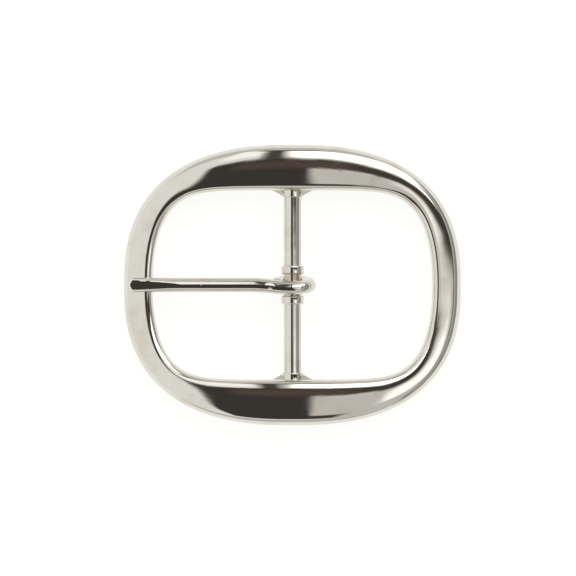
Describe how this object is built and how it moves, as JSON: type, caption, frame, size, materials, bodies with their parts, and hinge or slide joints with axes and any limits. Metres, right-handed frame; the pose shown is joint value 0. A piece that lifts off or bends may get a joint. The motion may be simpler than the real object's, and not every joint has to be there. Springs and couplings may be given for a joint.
{
  "type": "belt buckle",
  "caption": "Oval centre-bar belt buckle: bowed open frame, bar across its middle and a round-wire prong that turns on the bar between collars.",
  "frame": {"origin": "under the middle of the buckle, on the plane that the backs of its two rails rest on", "axes": "+X along the strap towards the rail that the prong doesn't rest on, +Y across the strap along the bar, +Z out of the front"},
  "size_m": [0.072, 0.0594, 0.0103],
  "materials": {
    "cast_frame": "zinc casting, polished and bright nickel plated",
    "bar_and_collars": "steel, bright nickel plated, drawn and turned surface",
    "prong_wire": "steel wire, filed flat at the tip, polished and bright nickel plated"
  },
  "bodies": {
    "buckle": {"frame": "cast_frame", "centre_bar": "bar_and_collars", "upper_collar": "bar_and_collars", "lower_collar": "bar_and_collars"},
    "prong": {"prong": "prong_wire"}
  },
  "joints": [
    {"name": "prong_hinge", "type": "hinge", "parent": "buckle", "child": "prong", "pos_m": [0, 0, 0.00528], "axis": [0, 1, 0], "range_deg": [0, 175.4]}
  ]
}
